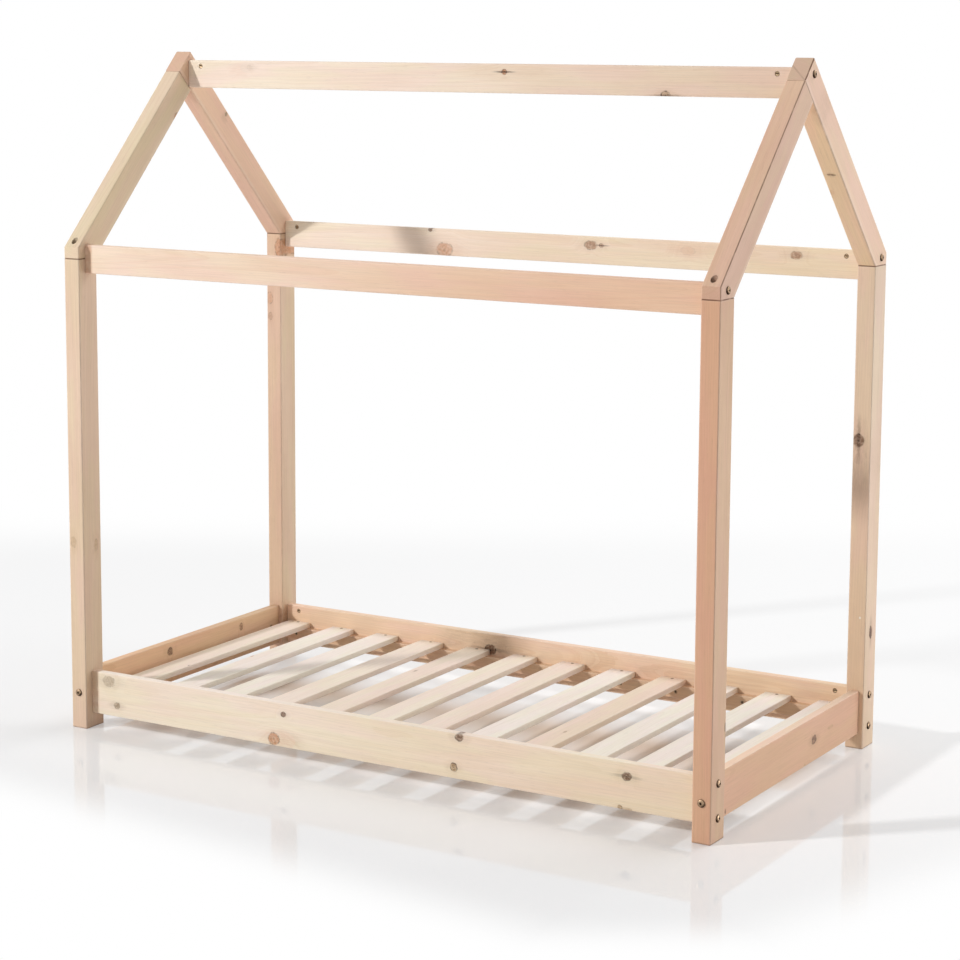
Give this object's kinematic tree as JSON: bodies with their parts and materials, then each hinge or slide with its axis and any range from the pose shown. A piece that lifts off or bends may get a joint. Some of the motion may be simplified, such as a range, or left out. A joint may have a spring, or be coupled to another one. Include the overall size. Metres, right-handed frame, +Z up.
{
  "type": "house frame bed",
  "caption": "Low wooden bed frame with a slatted base inside an open house-shaped frame: posts, gable rafters, eaves rails and a ridge board.",
  "frame": {"origin": "on the floor, under the middle of the bed", "axes": "+X along the bed, -Y towards the front long side that the picture shows nearest, +Z up"},
  "size_m": [1.4712, 0.7872, 1.3974],
  "materials": {
    "frame_pine": "planed natural pine, matt",
    "slat_pine": "planed natural pine, matt",
    "beech_dowel": "turned hardwood, matt",
    "bolt_steel": "zinc-plated, satin",
    "nut_steel": "zinc-plated, satin",
    "screw_steel": "zinc-plated, satin"
  },
  "bodies": {
    "root": {"apex_screws": "screw_steel", "barrel_nuts": "nut_steel", "eaves_rail_back": "frame_pine", "eaves_rail_bolts": "bolt_steel", "eaves_rail_front": "frame_pine", "end_board_bolts": "bolt_steel", "end_board_left": "frame_pine", "end_board_right": "frame_pine", "joint_dowels": "beech_dowel", "ledger_screws": "screw_steel", "post_back_left": "frame_pine", "post_back_right": "frame_pine", "post_front_left": "frame_pine", "post_front_right": "frame_pine", "rafter_back_left": "frame_pine", "rafter_back_right": "frame_pine", "rafter_foot_screws": "screw_steel", "rafter_front_left": "frame_pine", "rafter_front_right": "frame_pine", "ridge_board": "frame_pine", "ridge_bolts": "bolt_steel", "side_board_back": "frame_pine", "side_board_bolts": "bolt_steel", "side_board_front": "frame_pine", "slat_01": "slat_pine", "slat_02": "slat_pine", "slat_03": "slat_pine", "slat_04": "slat_pine", "slat_05": "slat_pine", "slat_06": "slat_pine", "slat_07": "slat_pine", "slat_08": "slat_pine", "slat_09": "slat_pine", "slat_10": "slat_pine", "slat_11": "slat_pine", "slat_12": "slat_pine", "slat_ledger_back": "slat_pine", "slat_ledger_front": "slat_pine", "slat_screws": "screw_steel"}
  },
  "joints": []
}
